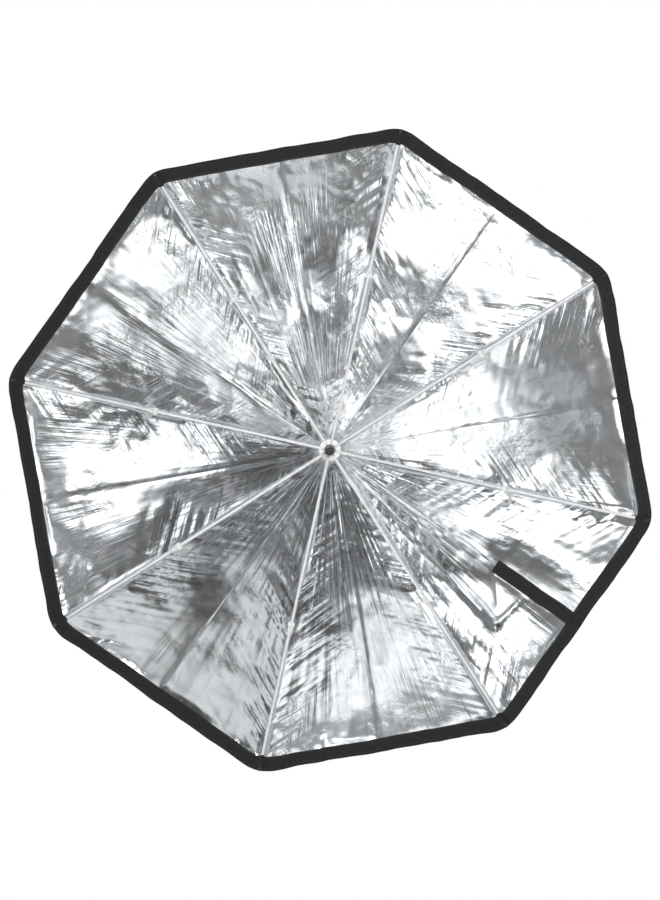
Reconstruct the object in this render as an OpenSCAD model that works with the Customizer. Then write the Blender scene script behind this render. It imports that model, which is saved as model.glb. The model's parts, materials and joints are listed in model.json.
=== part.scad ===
// Octabox on an umbrella frame: eight curved ribs fold along a shaft and carry a reflective bowl.
// The shaft lies along Y and the mouth faces -Y. The origin is the middle of the shaft's clamp stretch.
// Inside place(), Z runs along the shaft from the rib pivots towards the mouth.
// Inside at_rib(), X runs outwards in the rib's own plane and Y runs across it.

/* [Bowl] */
// Size of the mouth across opposite corners
mouth_d = 800; // [700:10:900]
// Slope of a rib at the hub, from the plane of the mouth
hub_slope = 20; // [16:1:24]
// Slope of a rib at the rim, from the plane of the mouth
rim_slope = 40; // [36:1:44]
// Turn of the first rib from the X axis
rib_turn = -12.5; // [-22.5:0.5:22.5]
// Thickness of the canopy fabric
fabric_t = 0.8; // [0.6:0.1:1.2]
// Gap between a rib's axis and the canopy behind it
fabric_off = 4.4; // [4.2:0.1:5]

/* [Rim tape and slit] */
// Width of the hook-and-loop tape
tape_w = 20; // [16:1:25]
// Thickness of the tape
tape_t = 0.9; // [0.6:0.1:1.2]
// Length of the slit from the rim tape inwards
slit_len = 138; // [100:2:180]
// Width of the flap over the slit
slit_w = 17; // [14:1:22]

/* [Ribs and stretchers] */
// Diameter of a rib rod
rib_d = 3.2; // [2.8:0.1:3.6]
// Diameter of a stretcher rod
stretcher_d = 3; // [2.6:0.1:3.2]
// Distance of the stretcher joints from the shaft's axis
joint_u = 226; // [200:2:240]
// Height of the joint pin above the rib's axis
joint_h = 6.5; // [6:0.1:8]
// Distance of the rib and stretcher pivots from the shaft's axis
pivot_u = 9.5; // [9.5:0.1:10]

/* [Shaft and runner] */
// Diameter of the shaft
shaft_d = 8; // [7.9:0.1:8.2]
// Bore of the shaft tube
shaft_bore = 6.4; // [6:0.1:6.6]
// Length of shaft left free for a light's umbrella clamp
clamp_len = 92; // [60:2:120]
// Diameter of the runner's slotted head and of the crown
head_d = 26; // [25:0.5:28]
// Length of the runner's slim tail
tail_len = 20; // [16:1:30]
// Angle between stretcher and shaft when the frame is folded
fold_angle = 5.5; // [5:0.1:8]

/* [Hidden] */
rib_count = 8;
pitch = 360 / rib_count;
half = pitch / 2;
fit_gap = 0.3;
layer_gap = 0.2;
slide_gap = 0.08;
snug_gap = 0.05;
shaft_r = shaft_d / 2;
rib_r = rib_d / 2;
stretcher_r = stretcher_d / 2;
head_r = head_d / 2;

// Every rib, canopy and tape layer is an arc about one centre in the rib's plane
outer_off = fabric_off + fabric_t;
arc_r = (mouth_d / 2 - pivot_u - outer_off * sin(rim_slope)) / (sin(rim_slope) - sin(hub_slope));
arc_cu = pivot_u - arc_r * sin(hub_slope);
arc_cz = arc_r * cos(hub_slope);
function arc_u(off, slope) = arc_cu + (arc_r + off) * sin(slope);
function arc_z(off, slope) = arc_cz - (arc_r + off) * cos(slope);
function slope_at(u, off = 0) = asin((u - arc_cu) / (arc_r + off));
function slope_step(len) = len / arc_r * 180 / PI;

// Stretcher joint on the rib, and the runner's place when the bowl is open and folded
joint_slope = slope_at(joint_u);
joint_x = joint_u - joint_h * sin(joint_slope);
joint_z = arc_z(0, joint_slope) + joint_h * cos(joint_slope);
link_r = sqrt(pow(joint_x - pivot_u, 2) + pow(joint_z, 2));
link_angle = atan2(joint_x - pivot_u, joint_z);
runner_z = 2 * joint_z;
folded_z = 2 * link_r * cos(fold_angle);

// Stations along the shaft, from the rib pivots
head_h = 12;
tail_r = 6.8;
tail_end = head_h / 2 + tail_len;
stop_z = folded_z + tail_end + 0.5;
stop_len = 5;
stop_sink = 0.4;
clamp_z = stop_z + stop_len;
cap_z = clamp_z + clamp_len;
hub_y = clamp_z + clamp_len / 2;
shaft_back = 14;
cap_plug_len = 12;
catch_z = runner_z + tail_end + 0.5;
catch_len = 20;
catch_w = 1.8;
catch_peak = 6.6;
catch_foot = -0.4;
catch_tooth = 3;
leaf_w = 1.6;
leaf_t = 0.4;

// Pivot details
eye_r = 2;
eye_t = 2.4;
wire_r = 0.8;
slot_w = 3;
runner_slot_w = 3.6;
slot_floor = 7;
blade_len = 10;
crown_front = 4.5;
crown_back = 2.7;
crown_neck_r = 5;
pin_r = 1.1;
pin_half = 2.4;
rivet_r = 2.2;
rivet_t = 1;
ear_t = 1.6;
ear_r = 3.6;
sleeve_r = 2.9;
sleeve_len = 13;
tip_r = 2.3;
tip_len = 9;
tip_over = 1.5;
tip_inset = 5;
canopy_hole_u = 8;
washer_r = 22;
washer_t = 1.2;
finial_r = 8;
finial_seat = 9.4;
finial_rim = 5;
finial_h = 9.5;
strip_steps = 22;
far = mouth_d;

STATIC = ["shaft", "shaft_cap", "crown", "crown_ring", "canopy_washer", "finial", "stop_ring"];
MOVING = ["runner", "catch", "catch_spring", "slit_flap", "slit_hook_strip"];
EACH_RIB = ["rib", "rib_joint", "rib_tip", "stretcher", "canopy", "rim_tape"];

// ---- placing ----

module place() {
    translate([0, hub_y, 0]) rotate([90, 0, 0]) children();
}

module at_rib(i) {
    place() rotate([0, 0, rib_turn + pitch * (i - 1)]) children();
}

// A cylinder along X that starts at the origin
module rod(r, len) {
    rotate([0, 90, 0]) cylinder(r = r, h = len, $fn = 24);
}

// A cylinder along Y, centred on the origin
module cross_pin(r, len) {
    rotate([90, 0, 0]) cylinder(r = r, h = len, center = true, $fn = 32);
}

// Children stand on the rib's arc: X follows the rib and Z points into the bowl
module on_arc(slope) {
    translate([arc_u(0, slope), 0, arc_z(0, slope)]) rotate([0, -slope, 0]) children();
}

// ---- shaft group ----

module shaft() color("gainsboro") difference() {
    translate([0, 0, -shaft_back]) cylinder(r = shaft_r, h = cap_z + shaft_back, $fn = 64);
    translate([0, 0, -shaft_back - 1])
        cylinder(d = shaft_bore, h = cap_z + shaft_back + 2, $fn = 64);
    stop_groove();
    rotate([0, 0, half]) translate([0, -catch_w / 2 - layer_gap, catch_z - 1])
        cube([shaft_d, catch_w + 2 * layer_gap, catch_len + 2]);
}

module stop_groove() {
    translate([0, 0, stop_z]) difference() {
        cylinder(r = shaft_r + 1, h = stop_len, $fn = 64);
        translate([0, 0, -1]) cylinder(r = shaft_r - stop_sink, h = stop_len + 2, $fn = 64);
    }
}

module stop_ring() color("dimgray") translate([0, 0, stop_z + layer_gap]) difference() {
    cylinder(r = tail_r - 2 * fit_gap, h = stop_len - 2 * layer_gap, $fn = 48);
    translate([0, 0, -1]) cylinder(r = shaft_r - stop_sink, h = stop_len + 2, $fn = 48);
}

// Plug with a domed nose, no wider than the shaft, so that a clamp slides over it
module shaft_cap() color("black") translate([0, 0, cap_z]) {
    translate([0, 0, -cap_plug_len]) cylinder(d = shaft_bore, h = cap_plug_len, $fn = 48);
    rotate_extrude($fn = 48) intersection() {
        circle(r = shaft_r, $fn = 48);
        square(shaft_r);
    }
}

module crown() color("whitesmoke") difference() {
    rotate_extrude($fn = 64) polygon([
        [shaft_r, -crown_back - (head_r - shaft_r) * tan(hub_slope)],
        [head_r, -crown_back],
        [head_r, crown_front - 1],
        [head_r - 1, crown_front],
        [shaft_r, crown_front]
    ]);
    for (i = [1:rib_count]) rotate([0, 0, pitch * (i - 1) + rib_turn])
        translate([slot_floor, -slot_w / 2, -eye_r - layer_gap]) cube([head_r, slot_w, head_r]);
    crown_wire(wire_r + snug_gap);
}

module crown_ring() color("silver") crown_wire(wire_r);

module crown_wire(r) {
    rotate_extrude($fn = 96) translate([pivot_u, 0]) circle(r = r, $fn = 20);
}

// Dished disc that holds the canopy's centre against the crown
module canopy_washer() color("black") {
    dish = tan(hub_slope);
    front = (crown_neck_r - pivot_u) * dish - outer_off / cos(hub_slope) - fit_gap;
    rise = (washer_r - crown_neck_r) * dish;
    rotate_extrude($fn = 64) polygon([
        [shaft_r, front],
        [crown_neck_r, front],
        [washer_r, front + rise],
        [washer_r, front + rise - washer_t],
        [crown_neck_r, front - washer_t],
        [shaft_r, front - washer_t]
    ]);
}

// Cap on the shaft's back end
module finial() color("black") difference() {
    translate([0, 0, -finial_seat]) rotate_extrude($fn = 64) polygon([
        [0, 0],
        [finial_r - 1, 0],
        [finial_r, -1],
        [finial_r, -finial_rim],
        [finial_r - 3, 1 - finial_h],
        [0, -finial_h]
    ]);
    translate([0, 0, -shaft_back]) cylinder(r = shaft_r, h = shaft_back, $fn = 64);
}

// ---- runner and catch ----

module runner() color("whitesmoke") translate([0, 0, runner_z]) difference() {
    union() {
        translate([0, 0, -head_h / 2]) cylinder(r = head_r, h = head_h, $fn = 64);
        cylinder(r = tail_r, h = tail_end, $fn = 64);
    }
    translate([0, 0, -head_h]) cylinder(r = shaft_r + slide_gap, h = 2 * tail_end, $fn = 64);
    for (i = [1:rib_count]) rotate([0, 0, pitch * (i - 1) + rib_turn]) runner_slot();
    rotate([0, 0, rib_turn + half]) translate([0, -catch_w / 2 - fit_gap, -head_h])
        cube([slot_floor, catch_w + 2 * fit_gap, 2 * tail_end]);
}

// A slot for one stretcher, open at both ends, with side grooves for the stretcher's pin
module runner_slot() {
    translate([slot_floor, -runner_slot_w / 2, -head_h]) cube([head_r, runner_slot_w, 2 * head_h]);
    translate([pivot_u - pin_r - fit_gap, -pin_half - fit_gap, -head_h])
        cube([2 * (pin_r + fit_gap), 2 * (pin_half + fit_gap), 2 * head_h]);
}

// Sprung catch: steep towards the open runner, sloping towards the shaft's free end
module catch() color("silver") rotate([0, 0, half]) translate([0, catch_w / 2, catch_z])
    rotate([90, 0, 0]) linear_extrude(height = catch_w) polygon([
        [catch_foot, 0],
        [catch_peak, 0],
        [catch_peak, catch_tooth],
        [shaft_r, catch_len - 1],
        [shaft_r - 1.2, catch_len],
        [catch_foot, catch_len]
    ]);

// Leaf spring between the catch and the far wall of the tube
module catch_spring() color("silver") {
    low = fit_gap - shaft_bore / 2;
    high = catch_foot - slide_gap;
    rotate([0, 0, half]) translate([0, leaf_w / 2, catch_z]) rotate([90, 0, 0])
        linear_extrude(height = leaf_w) polygon([
            [high, 0.4 * catch_len],
            [low, 0],
            [low, leaf_t],
            [high - leaf_t, 0.4 * catch_len],
            [high - leaf_t, 0.6 * catch_len],
            [low, catch_len - leaf_t],
            [low, catch_len],
            [high, 0.6 * catch_len]
        ]);
}

// ---- one rib and what rides on it ----

tip_slope = rim_slope - slope_step(tip_inset);

module rib() color("white") {
    start_slope = hub_slope + slope_step(blade_len - 2);
    difference() {
        translate([pivot_u, 0, 0]) rotate([0, -hub_slope, 0]) {
            translate([0, -eye_t / 2, -rib_r]) cube([blade_len, eye_t, rib_d]);
            cross_pin(eye_r, eye_t);
        }
        translate([pivot_u, 0, 0]) cross_pin(wire_r + 0.3, 2 * eye_t);
    }
    translate([arc_cu, 0, arc_cz]) rotate([90, 0, 0]) rotate([0, 0, start_slope - 90])
        rotate_extrude(angle = tip_slope - start_slope, $fn = 360)
            translate([arc_r, 0]) circle(r = rib_r, $fn = 24);
}

module rib_tip() color("black") on_arc(tip_slope) difference() {
    translate([tip_over - tip_len, 0, 0]) rod(tip_r, tip_len);
    translate([-tip_len, 0, 0]) rod(rib_r + snug_gap, tip_len + snug_gap);
}

// Sleeve on the rib with two ears and a rivet for the stretcher
module rib_joint() color("white") {
    ear_y = stretcher_r + fit_gap;
    on_arc(joint_slope) {
        difference() {
            union() {
                translate([-sleeve_len / 2, 0, 0]) rod(sleeve_r, sleeve_len);
                for (side = [-1, 1]) translate([0, side * (ear_y + ear_t / 2), 0]) joint_ear();
            }
            translate([-sleeve_len, 0, 0]) rod(rib_r + snug_gap, 2 * sleeve_len);
            translate([-sleeve_len, -ear_y, sleeve_r - 0.4]) cube([2 * sleeve_len, 2 * ear_y, far]);
            translate([0, 0, joint_h]) cross_pin(pin_r, 20);
        }
        translate([0, 0, joint_h]) {
            cross_pin(pin_r, 2 * (ear_y + ear_t) + rivet_t);
            for (side = [-1, 1]) translate([0, side * (ear_y + ear_t + rivet_t / 2), 0])
                cross_pin(rivet_r, rivet_t);
        }
    }
}

module joint_ear() {
    translate([-ear_r, -ear_t / 2, 0]) cube([2 * ear_r, ear_t, joint_h]);
    translate([0, 0, joint_h]) cross_pin(ear_r, ear_t);
}

module stretcher() color("white") translate([pivot_u, 0, runner_z])
    rotate([0, 90 - link_angle, 0]) {
        rod(stretcher_r, link_r - eye_r);
        cross_pin(eye_r, stretcher_d);
        cross_pin(pin_r, 2 * pin_half);
        translate([link_r, 0, 0]) difference() {
            cross_pin(eye_r + 1, stretcher_d);
            cross_pin(pin_r + slide_gap, 2 * stretcher_d);
        }
    }

// ---- canopy, rim tape and slit ----

function layer_points(off, from, to) = [
    for (k = [0:strip_steps])
        let (s = from + (to - from) * k / strip_steps) [arc_u(off, s) * cos(half), arc_z(off, s)]
];
function reversed(list) = [for (k = [len(list) - 1:-1:0]) list[k]];

// A strip of one gore between two layers and two slopes, from b0 to b1 across its middle line
module gore_strip(off_in, off_out, from, to, b0, b1) {
    translate([0, b1, 0]) rotate([90, 0, 0]) linear_extrude(height = b1 - b0)
        polygon(concat(layer_points(off_in, from, to), reversed(layer_points(off_out, from, to))));
}

// The band of surface from mid-gore to mid-gore round one rib
module rib_band(off_in, off_out, from, to) {
    for (side = [0, 1]) mirror([0, side, 0]) intersection() {
        rotate([0, 0, half]) gore_strip(off_in, off_out, from, to, -far, -layer_gap / 2);
        translate([0, 0, -far / 2]) cube(far);
    }
}

module canopy() color("dimgray")
    rib_band(fabric_off, outer_off, slope_at(canopy_hole_u), rim_slope);

tape_off_out = fabric_off - layer_gap;
tape_off_in = tape_off_out - tape_t;
tape_slope = rim_slope - slope_step(tape_w);

module rim_tape() color("black") {
    rib_band(tape_off_in, tape_off_out, tape_slope, rim_slope);
    tip_pocket();
}

// Pocket over the rib's tip
module tip_pocket() {
    wall = 0.7;
    flange = 3;
    inner = tip_r + layer_gap;
    len = tape_w - 2;
    on_arc(rim_slope) translate([-len, 0, 0]) difference() {
        translate([0, -inner - flange, -layer_gap])
            cube([len, 2 * (inner + flange), inner + wall + layer_gap]);
        translate([-1, -inner, -far / 2]) cube([len - 1, 2 * inner, far / 2 + inner]);
    }
}

// The slit's two strips lie over the middle line of the gore between the first and the last rib
slit_outer = tape_slope - slope_step(0.5);
slit_inner = slit_outer - slope_step(slit_len);
hook_off_out = fabric_off - layer_gap;
hook_off_in = hook_off_out - 0.7;
flap_off_out = hook_off_in - layer_gap;
flap_off_in = flap_off_out - tape_t;

module slit_strip(off_in, off_out, b0, b1) {
    place() rotate([0, 0, rib_turn - half])
        gore_strip(off_in, off_out, slit_inner, slit_outer, b0, b1);
}

module slit_flap() color("black")
    slit_strip(flap_off_in, flap_off_out, -slit_w / 2, slit_w / 2);

module slit_hook_strip() color("black")
    slit_strip(hook_off_in, hook_off_out, -slit_w / 2, -1);

place() rotate([0, 0, rib_turn]) shaft();
place() shaft_cap();
place() crown();
place() crown_ring();
place() canopy_washer();
place() finial();
place() stop_ring();
place() runner();
place() rotate([0, 0, rib_turn]) catch();
place() rotate([0, 0, rib_turn]) catch_spring();
slit_flap();
slit_hook_strip();
for (i = [1:rib_count]) {
    at_rib(i) rib();
    at_rib(i) rib_joint();
    at_rib(i) rib_tip();
    at_rib(i) stretcher();
    at_rib(i) canopy();
    at_rib(i) rim_tape();
}
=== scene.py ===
"""Octabox on an umbrella frame: wrinkled silver gores, hook-and-loop rim tape and a slit.

Inside the script a place on the bowl is (v, b, off) in millimetres: v runs along a rib from its pivot to
the rim, b runs across a gore from its middle line, and off is how far a layer lies behind the ribs' axes.
"""
import json
import math

import bpy
import numpy as np
from mathutils import Matrix, Vector


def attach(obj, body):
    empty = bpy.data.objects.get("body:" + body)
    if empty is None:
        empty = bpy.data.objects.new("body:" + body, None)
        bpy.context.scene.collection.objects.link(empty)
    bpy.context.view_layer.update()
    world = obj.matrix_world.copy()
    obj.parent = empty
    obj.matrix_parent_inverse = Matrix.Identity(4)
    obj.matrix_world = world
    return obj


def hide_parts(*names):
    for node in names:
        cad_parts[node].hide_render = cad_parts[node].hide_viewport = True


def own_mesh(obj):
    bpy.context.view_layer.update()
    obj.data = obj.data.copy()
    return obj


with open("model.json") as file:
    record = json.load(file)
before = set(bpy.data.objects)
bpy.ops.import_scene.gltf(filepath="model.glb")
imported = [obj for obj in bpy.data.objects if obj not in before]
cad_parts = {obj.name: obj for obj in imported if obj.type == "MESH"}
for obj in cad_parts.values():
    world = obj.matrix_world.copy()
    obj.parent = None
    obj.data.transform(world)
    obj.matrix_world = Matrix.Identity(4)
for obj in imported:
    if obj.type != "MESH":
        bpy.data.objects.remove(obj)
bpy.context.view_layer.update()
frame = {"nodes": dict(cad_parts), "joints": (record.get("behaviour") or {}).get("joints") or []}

# ---- sizes of the bowl, in millimetres and radians ----

MM = 0.001
RIBS = 8
PITCH = 2 * math.pi / RIBS
HALF = PITCH / 2
HUB_SLOPE = math.radians(20)
RIM_SLOPE = math.radians(40)
MID_SLOPE = (HUB_SLOPE + RIM_SLOPE) / 2
MOUTH_R = 400

joints = {joint["name"]: joint for joint in frame["joints"]}
pivot = Vector(joints["rib_1_fold"]["pos_m"]) / MM
PIVOT_U = math.hypot(pivot.x, pivot.z)
HUB_Y = pivot.y
RIB_TURN = math.atan2(pivot.z, pivot.x)
FOLD = math.radians(joints["rib_1_fold"]["range_deg"][1])

# Layers, by how far they lie behind the ribs' axes
LINING_OFF = 4.4
SHELL_OFF = 5.0
OUTER_OFF = 5.2
TAPE_OFF = 4.2

TAPE_W = 20
TAPE_T = 0.9
SLIT_LEN = 138
SLIT_GAP = 1.2

# A rib's arc: its radius, and its centre's distance from the shaft's axis and from the pivots
ARC_R = (MOUTH_R - PIVOT_U - OUTER_OFF * math.sin(RIM_SLOPE)) / (math.sin(RIM_SLOPE) - math.sin(HUB_SLOPE))
ARC_U = PIVOT_U - ARC_R * math.sin(HUB_SLOPE)
ARC_Z = ARC_R * math.cos(HUB_SLOPE)
RIB_LEN = ARC_R * (RIM_SLOPE - HUB_SLOPE)
CANOPY_START = 3.0
CANOPY_END = RIB_LEN - 0.3
SLIT_END = RIB_LEN - TAPE_W
SLIT_START = SLIT_END - SLIT_LEN

# The gore with the slit lies between the last rib and the first
SLIT_GORE = RIBS

# ---- repeatable noise ----


def hashed(ix, iy, seed):
    """A value from 0 to 1 for each lattice point."""
    n = (ix.astype(np.int64) * 374761393 + iy.astype(np.int64) * 668265263 + seed * 974634777) & 0xFFFFFFFF
    n = ((n ^ (n >> 13)) * 1274126177) & 0xFFFFFFFF
    return ((n ^ (n >> 16)) & 0xFFFF) / 65535.0


def smooth(t):
    """0 to 1 with no kink in slope or curvature."""
    t = np.clip(t, 0, 1)
    return t * t * t * (t * (6 * t - 15) + 10)


def noise(x, y, seed):
    """Gradient noise from about -1 to 1 over a unit lattice."""
    x, y = np.broadcast_arrays(np.asarray(x, float), np.asarray(y, float))
    ix, iy = np.floor(x), np.floor(y)
    fx, fy = x - ix, y - iy
    corner = {}
    for dx in (0, 1):
        for dy in (0, 1):
            turn = 2 * math.pi * hashed(ix + dx, iy + dy, seed)
            corner[dx, dy] = np.cos(turn) * (fx - dx) + np.sin(turn) * (fy - dy)
    sx, sy = smooth(fx), smooth(fy)
    low = corner[0, 0] + sx * (corner[1, 0] - corner[0, 0])
    high = corner[0, 1] + sx * (corner[1, 1] - corner[0, 1])
    return 1.5 * (low + sy * (high - low))


def ridged(x, y, seed):
    """Noise with sharp creases at 0, falling to about 1 between them."""
    return np.abs(noise(x, y, seed))


# ---- the bowl's surface ----


def rib_angle(i):
    """The turn of rib i round the shaft."""
    return RIB_TURN + PITCH * (i - 1)


def arc(off, v):
    """Distance from the shaft's axis, and height before the pivots, at v along the layer off."""
    slope = HUB_SLOPE + np.asarray(v, float) / ARC_R
    return ARC_U + (ARC_R + off) * np.sin(slope), ARC_Z - (ARC_R + off) * np.cos(slope)


def half_width(v):
    """From a gore's middle line to its ribs, on the lining."""
    return arc(LINING_OFF, v)[0] * math.sin(HALF)


def in_frame(u, t, z, angle):
    """Row-frame points in metres, of points in the plane at that angle round the shaft."""
    x = u * math.cos(angle) - t * math.sin(angle)
    up = u * math.sin(angle) + t * math.cos(angle)
    return np.stack(np.broadcast_arrays(x, HUB_Y - z, up), axis=-1) * MM


# How far each gore's middle line is pushed back (or forward, where negative) between hub and rim
TENT = {1: 5.0, 2: -7.0, 3: 6.0, 4: -5.0, 5: 7.0, 6: -4.0, 7: 5.0, 8: -7.0}

# How strongly each gore is gathered into folds that run out from the hub
GATHERS = {1: 0.4, 2: 0.4, 3: 0.4, 4: 0.4, 5: 0.5, 6: 1.5, 7: 1.4, 8: 1.2}

# The puckers slant towards the hub as they leave a rib
PUCKER_SLANT = 0.7

# Each gore's noise is drawn from its own run of seeds
SEEDS = 100

# How far from the slit its stiff strips calm the wrinkles, and the tuck beside them
CALM_REACH = 40
TUCK_REACH = 14


def crease(x0, y0, x1, y1, v, b, width):
    """1 on the line from one point to the other, falling off sideways over width."""
    dx, dy = x1 - x0, y1 - y0
    t = np.clip(((v - x0) * dx + (b - y0) * dy) / (dx * dx + dy * dy), 0, 1)
    gap = np.hypot(v - x0 - t * dx, b - y0 - t * dy)
    return np.exp(-gap / width)


def tent(gore, v, spoke):
    """The broad push that gives the two halves of a gore their own slopes."""
    return TENT[gore] * (1 - np.abs(spoke)) * np.sin(math.pi * np.clip(v / RIB_LEN, 0, 1))


def slack(v, b, seed):
    """Broad waves, with sharp creases among them."""
    waves = 5.0 * noise(v / 165, b / 95, seed + 1) + 1.4 * noise(v / 90, b / 60, seed + 2)
    crumple = 0.8 * ridged((v + 0.4 * b) / 56, (b - 0.3 * v) / 48, seed + 3) - 0.3
    crumple = crumple + 0.2 * ridged((v - 0.6 * b) / 22, b / 26, seed + 4)
    return waves + crumple


def puckers(gore, v, b, c, spoke, seed):
    """Short slanting folds beside the ribs, in patches; each half of a gore has its own."""
    patch = smooth(0.2 + 0.4 * GATHERS[gore] + 0.9 * noise(v / 80, b / 50, seed + 5))
    streak = v + PUCKER_SLANT * c
    first = noise(streak / 13, c / 80, seed + 6) + 0.5 * noise(streak / 8, c / 60, seed + 8)
    second = noise(streak / 13, c / 80, seed + 7) + 0.5 * noise(streak / 8, c / 60, seed + 9)
    folds = (1.0 + 0.6 * np.exp(-v / 90)) * np.where(b < 0, first, second)
    return folds * patch * np.exp(-c / 38) * smooth(np.abs(spoke) / 0.35)


def gathers(gore, v, spoke, seed):
    """Folds that run out from the hub and fade towards the rim."""
    folds = 0.45 * noise(spoke * 11, v / 160, seed + 10) + 0.3 * noise(spoke * 23, v / 130, seed + 12)
    return GATHERS[gore] * folds * smooth(v / 40) * np.clip(1.25 - v / RIB_LEN, 0, 1)


def relief(gore, v, b):
    """How far the fabric stands behind its taut surface; c is the distance to the nearer rib."""
    w = half_width(v)
    c = np.maximum(w - np.abs(b), 0)
    to_tape = np.maximum(SLIT_END - v, 0)
    spoke = b / w
    seed = SEEDS * gore

    middle = -1.3 * np.exp(-np.abs(b) / 3.5)
    hem = 0.9 * noise(b / 10, to_tape / 60, seed + 11) * np.exp(-to_tape / 22)
    hub_crush = 0.9 * noise(v / 9, b / 6, seed + 13) * smooth((v - 10) / 20) * np.exp(-np.square(v / 60))
    total = tent(gore, v, spoke) + (slack(v, b, seed) + middle) * smooth(v / 60)
    total = total + gathers(gore, v, spoke, seed) + puckers(gore, v, b, c, spoke, seed)
    total = total + hem + hub_crush
    if gore == SLIT_GORE:
        tuck = slit_folds(v, b) * (1 - at_slit(v, b, TUCK_REACH))
        total = total * (1 - at_slit(v, b, CALM_REACH)) + tuck
    near_rib = 1 - np.exp(-np.square(c / 6))
    near_rim = 1 - 0.85 * smooth((v - SLIT_END + 12) / 20)
    return total * near_rib * near_rim


def at_slit(v, b, reach):
    """1 along the slit, where its stiff strips hold the fabric straight, fading to 0 over reach."""
    return 0.98 * smooth((v - SLIT_START + 40) / 60) * np.exp(-np.square(b / reach))


def slit_folds(v, b):
    """The tuck that the loose side of the slit gore pulls up: two long creases that meet, and two across."""
    tip = (343, -60)
    width = 5
    long_folds = crease(60, -6, *tip, v, b, width) + crease(90, -26, *tip, v, b, width)
    cross_folds = crease(344, -50, 352, -14, v, b, width) + crease(330, -40, 300, -12, v, b, width)
    sunk = smooth((-b - 4) / 12) * np.exp(-np.square((b + 30) / 26)) * smooth((v - 190) / 90)
    return 3.0 * sunk - 2.2 * long_folds - 1.8 * cross_folds


def edge_wave(gore, b, c):
    """How far the rim strays from its line, with the corners rounded off."""
    seed = SEEDS * gore
    wave = 1.5 * noise(b / 48, 0.5, seed + 20) + 0.7 * noise(b / 19, 0.5, seed + 21)
    return wave * smooth(c / 25) - 4.5 * np.square(np.clip(1 - c / 20, 0, 1))


def gore_points(gore, v, b, off):
    """Row-frame points on a gore, wrinkled with its fabric."""
    c = np.maximum(half_width(v) - np.abs(b), 0)
    rim = smooth((v - RIB_LEN + 40) / 40)
    v_moved = v + edge_wave(gore, b, c) * rim
    u, z = arc(off + relief(gore, v, b), v_moved)
    return in_frame(u * math.cos(HALF), b, z, rib_angle(gore) + HALF)


# ---- meshes ----


def make_piece(name, points, faces, materials, slots=None, sharp_deg=40):
    """A mesh object of points and faces; slots gives each face's material."""
    mesh = bpy.data.meshes.new(name)
    mesh.from_pydata([tuple(p) for p in np.asarray(points).reshape(-1, 3)], [], faces)
    for material in materials:
        mesh.materials.append(material)
    if slots is not None:
        mesh.polygons.foreach_set("material_index", slots)
    mesh.polygons.foreach_set("use_smooth", [True] * len(mesh.polygons))
    mesh.set_sharp_from_angle(angle=math.radians(sharp_deg))
    mesh.update()
    piece = bpy.data.objects.new(name, mesh)
    bpy.context.scene.collection.objects.link(piece)
    return piece


def mark(piece, name, *axes):
    """Stores a place for each vertex, in metres, for the materials to read."""
    place = np.stack(np.broadcast_arrays(*axes), axis=-1).reshape(-1, 3)
    attribute = piece.data.attributes.new(name, "FLOAT_VECTOR", "POINT")
    attribute.data.foreach_set("vector", (place * MM).astype(np.float32).ravel())


# Steps that keep the patterns of two gores, and of a gore's halves, apart
GORE_STEP = 1000
HALF_STEP = 700
SPOKE_SPAN = 150


def mark_gore(piece, gore, v, b):
    """bowl_place runs along and across the gore; fold_place follows the puckers and gathers."""
    w = half_width(v)
    c = np.maximum(w - np.abs(b), 0)
    step = GORE_STEP * gore
    mark(piece, "bowl_place", v, b + step, c)
    streak = v + PUCKER_SLANT * c + np.where(b < 0, 0, HALF_STEP)
    mark(piece, "fold_place", streak, c, SPOKE_SPAN * b / w + step)


def grid_faces(rows, columns, start, flip):
    """Quads of a rows x columns grid of points that begins at index start."""
    faces = []
    for r in range(rows - 1):
        for k in range(columns - 1):
            a = start + r * columns + k
            quad = (a, a + 1, a + columns + 1, a + columns)
            faces.append(quad[::-1] if flip else quad)
    return faces


def border(rows, columns):
    """Indices round the edge of a grid, in order."""
    top = list(range(columns))
    right = [r * columns + columns - 1 for r in range(1, rows)]
    bottom = [(rows - 1) * columns + k for k in range(columns - 2, -1, -1)]
    left = [r * columns for r in range(rows - 2, 0, -1)]
    return top + right + bottom + left


def shell(name, inner, outer, materials, flip):
    """A closed sheet between two grids of points; the first material is inside and the second outside."""
    rows, columns = inner.shape[:2]
    count = rows * columns
    faces = grid_faces(rows, columns, 0, flip)
    slots = [0] * len(faces)
    back = grid_faces(rows, columns, count, not flip)
    edge = border(rows, columns)
    rim = []
    for a, b in zip(edge, edge[1:] + edge[:1]):
        quad = (a, a + count, b + count, b)
        rim.append(quad[::-1] if flip else quad)
    slots += [1] * (len(back) + len(rim))
    points = np.concatenate([inner.reshape(-1, 3), outer.reshape(-1, 3)])
    return make_piece(name, points, faces + back + rim, materials, slots)


def sweep(loops):
    """Points and faces of a closed bar through equal loops of points."""
    count = len(loops[0])
    points = np.concatenate(loops)
    faces = []
    for i in range(len(loops) - 1):
        for k in range(count):
            a, b = i * count + k, i * count + (k + 1) % count
            faces.append((a, b, b + count, a + count))
    last = (len(loops) - 1) * count
    faces.append(tuple(range(count - 1, -1, -1)))
    faces.append(tuple(range(last, last + count)))
    return points, faces


def joined(parts):
    """One list of points, faces and slots, from (points, faces, slot) parts."""
    points, faces, slots, start = [], [], [], 0
    for part_points, part_faces, slot in parts:
        points.append(part_points)
        faces += [tuple(start + i for i in face) for face in part_faces]
        slots += [slot] * len(part_faces)
        start += len(part_points)
    return np.concatenate(points), faces, slots


# ---- folding ----


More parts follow.
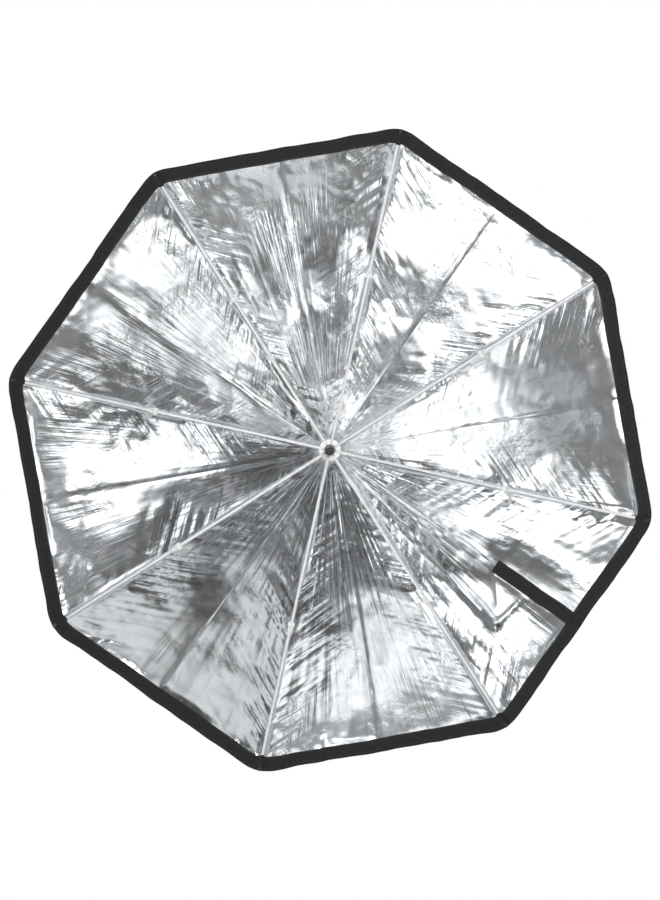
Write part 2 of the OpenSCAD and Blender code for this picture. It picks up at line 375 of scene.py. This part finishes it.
def fold_with_rib(piece, i, side):
    """Works out how a half gore would flatten as its rib folds, keeping its middle line in the gore's middle
    plane; it only gives the piece its own mesh and moves nothing.

    normal is that plane's, and turned is where it lies from the folded rib. Flattening along
    turned - lean * normal carries one plane onto the other, and lean is chosen so that the rib's own line
    hardly moves.
    """
    normal = np.array([-math.sin(HALF), side * math.cos(HALF), 0])
    turned = np.array([normal[0] * math.cos(FOLD), normal[1], -normal[0] * math.sin(FOLD)])
    chord = np.array([math.cos(MID_SLOPE), 0, math.sin(MID_SLOPE)])
    lean = (turned @ chord) / (normal @ chord)
    axis = turned - lean * normal
    size = np.linalg.norm(axis)
    shift = (turned - normal)[0] * PIVOT_U
    axis = axis / size
    anchor = axis * shift / size
    angle = rib_angle(i)
    way = in_frame(axis[0], axis[1], axis[2], angle) - in_frame(0, 0, 0, angle)
    tuple(in_frame(*anchor, angle))
    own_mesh(piece)


# ---- materials ----


class Nodes:
    """A short way to write a node tree."""

    def __init__(self, owner):
        owner.use_nodes = True
        self.tree = owner.node_tree

    def add(self, kind, inputs=None, **settings):
        node = self.tree.nodes.new(kind)
        for key, value in settings.items():
            setattr(node, key, value)
        for key, value in (inputs or {}).items():
            self.set(node.inputs[key], value)
        return node

    def set(self, socket, value):
        if isinstance(value, bpy.types.NodeSocket):
            self.tree.links.new(value, socket)
        else:
            socket.default_value = value

    def scaled(self, vector, scale, turn=0.0):
        inputs = {"Vector": vector, "Scale": scale, "Rotation": (0, 0, turn)}
        return self.add("ShaderNodeMapping", inputs).outputs[0]

    def noise(self, vector, scale, detail=3.0, rough=0.5):
        inputs = {"Vector": vector, "Scale": scale, "Detail": detail, "Roughness": rough}
        return self.add("ShaderNodeTexNoise", inputs).outputs["Fac"]

    def wave(self, vector, scale, direction, distortion=0.0):
        inputs = {"Vector": vector, "Scale": scale, "Distortion": distortion}
        return self.add("ShaderNodeTexWave", inputs, bands_direction=direction).outputs["Fac"]

    def ramp(self, factor, *stops):
        node = self.add("ShaderNodeValToRGB", {"Fac": factor})
        ramp = node.color_ramp
        while len(ramp.elements) < len(stops):
            ramp.elements.new(0.5)
        for element, (position, colour) in zip(ramp.elements, stops):
            element.position = position
            element.color = (*colour, 1) if isinstance(colour, tuple) else (colour, colour, colour, 1)
        return node.outputs["Color"]

    def span(self, factor, low, high, start=0.0, end=1.0):
        ends = {"From Min": start, "From Max": end, "To Min": low, "To Max": high}
        return self.add("ShaderNodeMapRange", {"Value": factor, **ends}).outputs[0]

    def math(self, operation, a, b):
        return self.add("ShaderNodeMath", {0: a, 1: b}, operation=operation).outputs[0]

    def plus(self, vector, other):
        return self.add("ShaderNodeVectorMath", {0: vector, 1: other}, operation="ADD").outputs[0]

    def dot(self, vector, axis):
        node = self.add("ShaderNodeVectorMath", {0: vector, 1: axis}, operation="DOT_PRODUCT")
        return node.outputs["Value"]


class Finish(Nodes):
    """The node tree of a material."""

    def __init__(self, name):
        self.material = bpy.data.materials.new(name)
        super().__init__(self.material)
        self.shader = self.tree.nodes["Principled BSDF"]

    def place(self, name="bowl_place"):
        return self.add("ShaderNodeAttribute", attribute_name=name).outputs["Vector"]

    def position(self):
        return self.add("ShaderNodeTexCoord").outputs["Object"]

    def bump(self, height, strength, distance, under=None):
        inputs = {"Height": height, "Strength": strength, "Distance": distance}
        if under is not None:
            inputs["Normal"] = under
        return self.add("ShaderNodeBump", inputs).outputs[0]

    def finish(self, **sockets):
        for key, value in sockets.items():
            self.set(self.shader.inputs[key.replace("_", " ")], value)
        return self.material


def silver_lining():
    """Metallised fabric with a satin shine: streaks beside the ribs, gathers and fine crinkles."""
    n = Finish("silver_lining")
    place = n.place()
    folds = n.place("fold_place")
    reach = n.add("ShaderNodeSeparateXYZ", {0: folds}).outputs["Y"]
    patches = n.ramp(n.noise(place, 14, 2, 0.5), (0.44, 0.12), (0.64, 1.0))
    beside_rib = n.span(reach, 1.0, 0.0, 0.0, 0.075)
    streaks = n.noise(n.scaled(folds, (95, 10, 0)), 1.0, 2, 0.5)
    streaks = n.math("MULTIPLY", n.math("MULTIPLY", streaks, patches), beside_rib)
    outwards = n.plus(n.scaled(folds, (0, 0, 170)), n.scaled(place, (9, 0, 0)))
    where = n.ramp(n.noise(place, 8, 1), (0.48, 0.1), (0.62, 1.0))
    gathered = n.math("MULTIPLY", n.noise(outwards, 1.0, 3, 0.55), where)
    crinkle = n.noise(n.scaled(place, (36, 50, 0), -0.6), 1.0, 4, 0.6)
    fine = n.noise(place, 300, 2, 0.5)
    normal = n.bump(streaks, 0.6, 0.0028)
    normal = n.bump(gathered, 0.4, 0.0018, normal)
    normal = n.bump(n.math("MULTIPLY", crinkle, patches), 0.4, 0.0024, normal)
    normal = n.bump(fine, 0.08, 0.0003, normal)
    tone = n.ramp(n.noise(place, 30, 5, 0.6), (0.3, (0.83, 0.86, 0.885)), (0.7, (0.93, 0.955, 0.975)))
    roughness = n.span(n.noise(place, 45, 4, 0.6), 0.11, 0.23)
    return n.finish(Base_Color=tone, Metallic=1.0, Roughness=roughness, Normal=normal)


def black_nylon():
    """Coated nylon shell, with its plain weave."""
    n = Finish("black_nylon")
    place = n.place()
    weave = n.math("MULTIPLY", n.wave(place, 420, "X"), n.wave(place, 420, "Y"))
    crinkle = n.noise(place, 60, 5, 0.6)
    normal = n.bump(weave, 0.25, 0.0003)
    normal = n.bump(crinkle, 0.35, 0.0012, normal)
    tone = n.ramp(n.noise(place, 40, 4, 0.6), (0.3, (0.012, 0.012, 0.013)), (0.75, (0.026, 0.026, 0.028)))
    roughness = n.span(crinkle, 0.32, 0.50)
    return n.finish(Base_Color=tone, Roughness=roughness, Normal=normal, Sheen_Weight=0.08)


def black_tape():
    """Woven loop tape: cross ribs and a fuzzy surface."""
    n = Finish("black_tape")
    place = n.place()
    fuzz = n.noise(place, 900, 4, 0.7)
    ribs = n.wave(place, 260, "Y", 1.5)
    normal = n.bump(ribs, 0.4, 0.0004)
    normal = n.bump(fuzz, 0.6, 0.0006, normal)
    tone = n.ramp(n.noise(place, 220, 5, 0.7), (0.3, (0.004, 0.004, 0.004)), (0.8, (0.016, 0.016, 0.017)))
    roughness = n.span(fuzz, 0.75, 0.95)
    return n.finish(Base_Color=tone, Roughness=roughness, Normal=normal, Sheen_Weight=0.08)


def grey_thread():
    """Sewing thread, with its twist."""
    n = Finish("grey_thread")
    place = n.place()
    slanted = n.scaled(place, (1, 1, 1), turn=0.7)
    twist = n.wave(slanted, 700, "X")
    tone = n.ramp(n.noise(place, 300, 3, 0.6), (0.3, (0.035, 0.035, 0.037)), (0.8, (0.11, 0.11, 0.115)))
    return n.finish(Base_Color=tone, Roughness=n.span(twist, 0.6, 0.8), Normal=n.bump(twist, 0.5, 0.0003))


def brushed_metal(name, colour, dull, low, high):
    """Steel with fine drawing lines and handling marks."""
    n = Finish(name)
    place = n.position()
    lines = n.noise(n.scaled(place, (600, 40, 600)), 1.0, 4, 0.6)
    marks = n.noise(place, 90, 5, 0.65)
    tone = n.ramp(marks, (0.3, dull), (0.65, colour))
    roughness = n.span(lines, low, high)
    return n.finish(Base_Color=tone, Metallic=1.0, Roughness=roughness, Normal=n.bump(lines, 0.08, 0.0002))


def coated_rod():
    """White-coated rod, a little glossy, with rubbed patches."""
    n = Finish("coated_rod")
    place = n.position()
    rub = n.noise(place, 120, 5, 0.65)
    tone = n.ramp(rub, (0.25, (0.72, 0.72, 0.73)), (0.6, (0.90, 0.90, 0.905)))
    normal = n.bump(n.noise(place, 500, 3), 0.1, 0.0002)
    return n.finish(Base_Color=tone, Roughness=n.span(rub, 0.25, 0.45), Normal=normal)


def moulded(name, light, dark, low, high):
    """Moulded plastic with a fine spark-eroded grain."""
    n = Finish(name)
    place = n.position()
    grain = n.noise(place, 1400, 3, 0.6)
    cloud = n.noise(place, 70, 5, 0.6)
    tone = n.ramp(cloud, (0.3, dark), (0.7, light))
    return n.finish(Base_Color=tone, Roughness=n.span(cloud, low, high), Normal=n.bump(grain, 0.2, 0.0002))


SILVER = silver_lining()
NYLON = black_nylon()
TAPE = black_tape()
THREAD = grey_thread()
STEEL = brushed_metal("shaft_steel", (0.72, 0.72, 0.73), (0.55, 0.55, 0.56), 0.16, 0.32)
SPRING = brushed_metal("spring_steel", (0.60, 0.60, 0.61), (0.42, 0.42, 0.43), 0.22, 0.42)
ROD = coated_rod()
WHITE = moulded("white_plastic", (0.86, 0.86, 0.86), (0.78, 0.78, 0.775), 0.32, 0.48)
BLACK = moulded("black_plastic", (0.030, 0.030, 0.032), (0.014, 0.014, 0.015), 0.38, 0.58)

# ---- canopy ----

ROWS = 160
COLUMNS = 50


def half_places(side, rows, columns, v0, v1):
    """v and b of a grid over one half of a gore; side is 1 just after a rib and -1 just before it."""
    v = np.linspace(v0, v1, rows)[:, None]
    share = np.linspace(0, 1, columns)[None, :]
    return np.broadcast_to(v, (rows, columns)), -side * half_width(v) * (1 - share)


def gore_of(i, side):
    """The gore just after rib i (side 1), or just before it (side -1)."""
    return i if side == 1 else (i - 2) % RIBS + 1


def canopy_half(i, side):
    """The fabric from rib i to the middle line of one of its gores."""
    gore = gore_of(i, side)
    v, b = half_places(side, ROWS, COLUMNS, CANOPY_START, CANOPY_END)
    if gore == SLIT_GORE:
        open_here = smooth((v - SLIT_START) / 4)
        b = b - side * SLIT_GAP / 2 * open_here * (1 - np.abs(b) / half_width(v))
    inner = gore_points(gore, v, b, LINING_OFF)
    outer = gore_points(gore, v, b, SHELL_OFF)
    name = f"gore_{gore}_{'first' if side == 1 else 'second'}_half"
    piece = shell(name, inner, outer, [SILVER, NYLON], side == 1)
    mark_gore(piece, gore, np.stack([v, v]), np.stack([b, b]))
    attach(piece, f"rib_{i}")
    fold_with_rib(piece, i, side)
    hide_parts(f"canopy_{i}")


# ---- rim tape ----

# Section of the tape, folded round the fabric's edge: distance in from the rim, and layer
TAPE_FACE = TAPE_OFF - TAPE_T
TAPE_LOOP = [
    (TAPE_W, TAPE_OFF),
    (TAPE_W + 0.3, TAPE_OFF - TAPE_T / 2),
    (TAPE_W - 0.2, TAPE_FACE),
    (TAPE_W * 0.6, TAPE_FACE - 0.15),
    (TAPE_W * 0.25, TAPE_FACE - 0.1),
    (0.6, TAPE_FACE + 0.1),
    (-0.5, TAPE_OFF - 0.1),
    (-0.7, SHELL_OFF),
    (-0.1, SHELL_OFF + 0.9),
    (3, SHELL_OFF + 1.05),
    (8, SHELL_OFF + 0.95),
    (8.3, SHELL_OFF + 0.5),
    (8, SHELL_OFF + 0.15),
    (0.3, SHELL_OFF + 0.1),
    (0.3, TAPE_OFF),
]
TAPE_STATIONS = 56
STITCH_STEP = 3.3
STITCH_RUN = 2.3

# Distances in from the rim of the tape's two rows of stitches
STITCH_ROWS = (TAPE_W - 2.2, 2.4)


def tape_loop(gore, side, share):
    """The tape's section at a share of the way from its rib to the gore's middle."""
    inset, off = np.array(TAPE_LOOP).T
    v = RIB_LEN - inset
    b = -side * half_width(v) * (1 - share)
    return gore_points(gore, v, b, off)


def stitch(gore, v0, v1, b0, b1, off, rise=0.28, width=0.55):
    """One lockstitch: a short rounded thread standing on the tape, between two places."""
    loops = []
    for t, size in ((0.0, 0.35), (0.3, 1.0), (0.7, 1.0), (1.0, 0.35)):
        v, b = v0 + t * (v1 - v0), b0 + t * (b1 - b0)
        run = math.hypot(v1 - v0, b1 - b0)
        across_v = -(b1 - b0) / run * width / 2 * size
        across_b = (v1 - v0) / run * width / 2 * size
        side_v = np.array([v + across_v, v, v - across_v, v])
        side_b = np.array([b + across_b, b, b - across_b, b])
        loops.append(gore_points(gore, side_v, side_b, np.array([off, off - rise * size, off, off + 0.1])))
    return sweep(loops)


def stitch_row(gore, side, inset, off):
    """Stitches along the rim at one distance in from it."""
    v = RIB_LEN - inset
    reach = float(half_width(v))
    parts = []
    for k in range(int((reach - 5) / STITCH_STEP)):
        start = reach - 3.5 - k * STITCH_STEP
        points, faces = stitch(gore, v, v, -side * start, -side * (start - STITCH_RUN), off)
        parts.append((points, faces, 1))
    return parts


def rim_tape_half(i, side):
    """The tape from rib i to the middle line of one of its gores, with its stitches."""
    gore = gore_of(i, side)
    loops = [tape_loop(gore, side, share) for share in np.linspace(0, 1, TAPE_STATIONS)]
    points, faces = sweep(loops)
    if side == 1:
        faces = [face[::-1] for face in faces]
    parts = [(points, faces, 0)]
    for inset in STITCH_ROWS:
        parts += stitch_row(gore, side, inset, TAPE_FACE - 0.05)
    points, faces, slots = joined(parts)
    name = f"rim_tape_{gore}_{'first' if side == 1 else 'second'}_half"
    piece = make_piece(name, points, faces, [TAPE, THREAD], slots)
    dress_strip(piece, i)
    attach(piece, f"rib_{i}")
    fold_with_rib(piece, i, side)
    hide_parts(f"rim_tape_{i}")


def dress_strip(piece, i):
    """Stores where each vertex lies along and across the bowl's rim, for the tape's weave."""
    co = np.array([vertex.co for vertex in piece.data.vertices]) / MM
    angle = rib_angle(i)
    u = co[:, 0] * math.cos(angle) + co[:, 2] * math.sin(angle)
    t = co[:, 2] * math.cos(angle) - co[:, 0] * math.sin(angle)
    mark(piece, "bowl_place", u, t, HUB_Y - co[:, 1])


# ---- what rides on each rib: tip pocket and seam binding ----


def on_rib(i, v, c, off):
    """Row-frame points c to either side of rib i, on a layer of the gores that meet there."""
    to_seam = arc(off, v)[0] * math.sin(HALF) - np.abs(c)
    before = gore_points(gore_of(i, -1), v, to_seam, off)
    after = gore_points(gore_of(i, 1), v, -to_seam, off)
    return np.where(c[:, None] < 0, before, after)


# Section of the pocket over a rib's tip: places across the rib, and how far it stands off the tape there
POCKET_ACROSS = np.array([-7.5, -4.2, -2.4, 0, 2.4, 4.2, 7.5])
POCKET_RISE = np.array([0.1, 1.5, 5.4, 6.2, 5.4, 1.5, 0.1])


def tip_pocket(i):
    """The tape's folded pocket over the rib's tip."""
    loops = []
    for v in np.linspace(RIB_LEN - TAPE_W + 0.3, RIB_LEN - 1.2, 12):
        end = min(1.0, (RIB_LEN - 1.0 - v) / 5 + 0.35)
        across = POCKET_ACROSS * (0.75 + 0.25 * end)
        rise = POCKET_RISE.copy()
        rise[1:-1] *= end
        front = on_rib(i, np.full(7, v), across, TAPE_FACE - rise)
        back = on_rib(i, np.full(7, v), across[::-1], np.full(7, TAPE_OFF - 0.25))
        loops.append(np.concatenate([front, back]))
    points, faces = sweep(loops)
    piece = make_piece(f"tip_pocket_{i}", points, faces, [TAPE], sharp_deg=60)
    dress_strip(piece, i)
    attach(piece, f"rib_{i}")
    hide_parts(f"rim_tape_{i}")


# Section of the seam binding: places across the rib in half widths, and its outside's height
BINDING_ACROSS = np.array([-1, -0.6, -0.25, 0, 0.25, 0.6, 1])
BINDING_RISE = np.array([0.8, 1.05, 1.25, 1.3, 1.25, 1.05, 0.8])


def seam_binding(i):
    """The folded strip sewn over the seam behind each rib."""
    loops = []
    for v in np.linspace(14, RIB_LEN - 9, 90):
        wide = 6.0 + 0.3 * float(noise(v / 26, 0.5, 900 + i))
        across = wide * BINDING_ACROSS
        front = on_rib(i, np.full(7, v), across, np.full(7, SHELL_OFF + 0.25))
        back = on_rib(i, np.full(7, v), across[::-1], SHELL_OFF + BINDING_RISE)
        loops.append(np.concatenate([front, back]))
    points, faces = sweep(loops)
    piece = make_piece(f"seam_binding_{i}", points, faces, [NYLON], sharp_deg=60)
    dress_strip(piece, i)
    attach(piece, f"rib_{i}")
    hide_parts(f"canopy_{i}")


# ---- slit ----


# Section of a strip: how far each point lies through its thickness, across the front and back again
STRIP_LIFT = np.array([0.15, 0, -0.1, 0, 0.15, 0.5, 1, 1, 1, 0.5])


def slit_strip(name, b0, b1, off_in, off_out, v0, v1, stitch_rows):
    """A strip of tape along the slit, with rows of stitches near its edges."""
    middle = (b0 + b1) / 2
    front = [b0 + 0.2, b0 + 1, middle, b1 - 1, b1 - 0.2]
    back = [b1, b1 - 0.3, middle, b0 + 0.3, b0]
    off = off_in + STRIP_LIFT * (off_out - off_in)
    loops = []
    for v in np.linspace(v0, v1, 60):
        sway = 0.5 * float(noise(v / 30, 0.5, 931))
        b = np.array(front + back) + sway
        loops.append(gore_points(SLIT_GORE, np.full(len(b), v), b, off))
    points, faces = sweep(loops)
    parts = [(points, faces, 0)]
    for b in stitch_rows:
        for k in range(int((v1 - v0 - 4) / STITCH_STEP)):
            v = v0 + 2 + k * STITCH_STEP
            points, faces = stitch(SLIT_GORE, v, v + STITCH_RUN, b, b, off_in + 0.05)
            parts.append((points, faces, 1))
    points, faces, slots = joined(parts)
    piece = make_piece(name, points, faces, [TAPE, THREAD], slots)
    dress_strip(piece, 1)
    return piece


def slit():
    """The loop flap rides on its own body, and the hook strip under it on the last rib's."""
    reach = 8.5
    hook_in = TAPE_OFF - 0.7
    flap_out = hook_in - 0.2
    flap_layers = (flap_out - TAPE_T, flap_out)
    flap = slit_strip("slit_flap_tape", -reach, reach, *flap_layers, SLIT_START, SLIT_END + 6, (-6.8, 6.8))
    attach(flap, "slit_flap")
    fold_with_rib(flap, 1, -1)
    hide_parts("slit_flap")
    hook_layers = (hook_in, TAPE_OFF)
    hook = slit_strip("slit_hook_tape", -reach, -1.2, *hook_layers, SLIT_START + 1, SLIT_END - 0.5, (-7.2,))
    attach(hook, f"rib_{RIBS}")
    fold_with_rib(hook, RIBS, 1)
    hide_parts("slit_hook_strip")


# ---- the CAD nodes that stay ----

FINISHES = {
    "shaft": STEEL,
    "shaft_cap": BLACK,
    "crown": WHITE,
    "crown_ring": SPRING,
    "canopy_washer": BLACK,
    "finial": BLACK,
    "stop_ring": BLACK,
    "runner": WHITE,
    "catch": SPRING,
    "catch_spring": SPRING,
    "rib": ROD,
    "rib_joint": WHITE,
    "rib_tip": BLACK,
    "stretcher": ROD,
}


def finish_cad_nodes():
    """Gives each CAD node that stays in view its finish, by its name without the number."""
    for name, node in frame["nodes"].items():
        kind = name.rstrip("0123456789").rstrip("_")
        if kind not in FINISHES:
            continue
        node.data.materials.clear()
        node.data.materials.append(FINISHES[kind])
        node.data.polygons.foreach_set("material_index", [0] * len(node.data.polygons))


# ---- stage, light and camera ----

FLOOR_Z = -2.6
FLOOR_R = 0.75
FLOOR_SIDES = 128


def floor():
    """A round sheet of pale paper."""
    n = Finish("floor_paper")
    place = n.position()
    grain = n.noise(place, 60, 4, 0.6)
    tone = n.ramp(grain, (0.3, (0.74, 0.74, 0.74)), (0.7, (0.80, 0.80, 0.80)))
    paper = n.finish(Base_Color=tone, Roughness=n.span(grain, 0.7, 0.85))
    turns = [2 * math.pi * k / FLOOR_SIDES for k in range(FLOOR_SIDES)]
    middle_y = HUB_Y * MM / 2
    points = [(FLOOR_R * math.cos(t), middle_y + FLOOR_R * math.sin(t), FLOOR_Z) for t in turns]
    make_piece("floor", points, [tuple(range(FLOOR_SIDES))], [paper])


# Brightness of the studio, from straight ahead of the bowl (0) to straight behind it (1)
ROOM = [(0.0, 0.02), (0.20, 0.04), (0.28, 0.06), (0.38, 0.12), (0.45, 0.22), (0.60, 0.60), (1.0, 0.50)]

# Soft lights in the room: turn round the shaft's axis, angle off straight ahead of the bowl, reach round the
# axis and away from it, all in degrees, and brightness
GLOWS = [
    (190, 49, 16, 15, 2.1),
    (236, 70, 18, 8, 2.0),
    (258, 42, 28, 5, 2.0),
    (263, 73, 6, 6, 1.4),
    (293, 63, 8, 8, 1.8),
    (320, 48, 8, 4, 1.2),
    (331, 67, 8, 9, 1.4),
    (359, 67, 10, 9, 2.0),
    (50, 72, 18, 9, 0.6),
    (104, 69, 14, 8, 1.1),
    (134, 64, 8, 10, 2.2),
    (146, 70, 5.5, 9, 1.6),
    (162, 42, 8, 4, 1.0),
    (110, 132, 28, 18, 2.4),
    (220, 125, 10, 24, 1.8),
]
GLOW_EDGE = 0.55

# Puts the opposite side of the room far outside a glow, so that the glow has no mirror image there
BEHIND = 20.0


def towards(turn_deg, off_axis_deg):
    """Directions from the hub: to the place named, then round the axis and away from it."""
    turn, out = math.radians(turn_deg), math.radians(off_axis_deg)
    radial = Vector((math.cos(turn), 0, math.sin(turn)))
    forward = Vector((0, -1, 0))
    way = radial * math.sin(out) + forward * math.cos(out)
    outwards = radial * math.cos(out) - forward * math.sin(out)
    return way, outwards.cross(way), outwards


def glow(n, direction, turn, off_axis, reach_round, reach_away, brightness):
    """An oval patch of light that fades out at its edge."""
    way, around, outwards = towards(turn, off_axis)
    half_round, half_away = math.sin(math.radians(reach_round)), math.sin(math.radians(reach_away))
    across = n.dot(direction, around / half_round)
    along = n.dot(direction, outwards / half_away)
    behind = n.math("MINIMUM", n.dot(direction, way), 0.0)
    behind = n.math("MULTIPLY", behind, BEHIND)
    gap = n.add("ShaderNodeCombineXYZ", {0: across, 1: along, 2: behind}).outputs[0]
    length = n.add("ShaderNodeVectorMath", {0: gap}, operation="LENGTH").outputs["Value"]
    ends = {"From Min": 1 + GLOW_EDGE, "From Max": 1 - GLOW_EDGE, "To Min": 0.0, "To Max": brightness}
    return n.add("ShaderNodeMapRange", {"Value": length, **ends}, interpolation_type="SMOOTHSTEP").outputs[0]


def world_light():
    """White where the camera looks past the object; a dim room with soft lights for everything else."""
    world = bpy.data.worlds.new("studio")
    bpy.context.scene.world = world
    n = Nodes(world)
    n.tree.nodes.clear()
    direction = n.add("ShaderNodeTexCoord").outputs["Generated"]
    off_axis = n.math("ARCCOSINE", n.dot(direction, Vector((0, -1, 0))), 0.0)
    light = n.ramp(n.math("DIVIDE", off_axis, math.pi), *ROOM)
    for spot in GLOWS:
        light = n.math("ADD", light, glow(n, direction, *spot))
    room = n.add("ShaderNodeBackground", {"Color": light})
    white = n.add("ShaderNodeBackground", {"Color": (1, 1, 1, 1)})
    seen = n.add("ShaderNodeLightPath").outputs["Is Camera Ray"]
    mix = n.add("ShaderNodeMixShader", {0: seen, 1: room.outputs[0], 2: white.outputs[0]})
    n.add("ShaderNodeOutputWorld", {0: mix.outputs[0]})


def softbox(name, turn_deg, off_axis_deg, distance, side, radiance):
    """A square area light that faces the hub."""
    data = bpy.data.lights.new(name, "AREA")
    data.size = side
    data.energy = radiance * math.pi * side * side
    light = bpy.data.objects.new(name, data)
    bpy.context.scene.collection.objects.link(light)
    way, around, outwards = towards(turn_deg, off_axis_deg)
    light.location = Vector((0, HUB_Y * MM, 0)) + way * distance
    light.rotation_mode = "QUATERNION"
    light.rotation_quaternion = Matrix((around, outwards, way)).transposed().to_quaternion()
    light.visible_camera = False


# The camera stands this far before the rim, in metres, and its picture is this high there, in millimetres
CAMERA_DISTANCE = 3.6
VIEW_HEIGHT = 1087.2


def camera():
    """Straight ahead of the mouth, with the whole bowl in the picture."""
    data = bpy.data.cameras.new("camera")
    data.sensor_width = 36
    rim_y = (HUB_Y - float(arc(LINING_OFF, RIB_LEN)[1])) * MM
    data.lens = data.sensor_width * CAMERA_DISTANCE / (VIEW_HEIGHT * MM)
    view = bpy.data.objects.new("camera", data)
    bpy.context.scene.collection.objects.link(view)
    view.location = (0, rim_y - CAMERA_DISTANCE, 0)
    view.rotation_euler = (math.pi / 2, 0, 0)
    data.clip_end = 60
    bpy.context.scene.camera = view


camera()
softbox("front", 60, 5, 4.2, 0.5, 130)
world_light()
# Plain white stays plain white: no film curve
bpy.context.scene.view_settings.view_transform = "Standard"
floor()
finish_cad_nodes()
for rib in range(1, RIBS + 1):
    for half in (1, -1):
        canopy_half(rib, half)
        rim_tape_half(rib, half)
    tip_pocket(rib)
    seam_binding(rib)
slit()
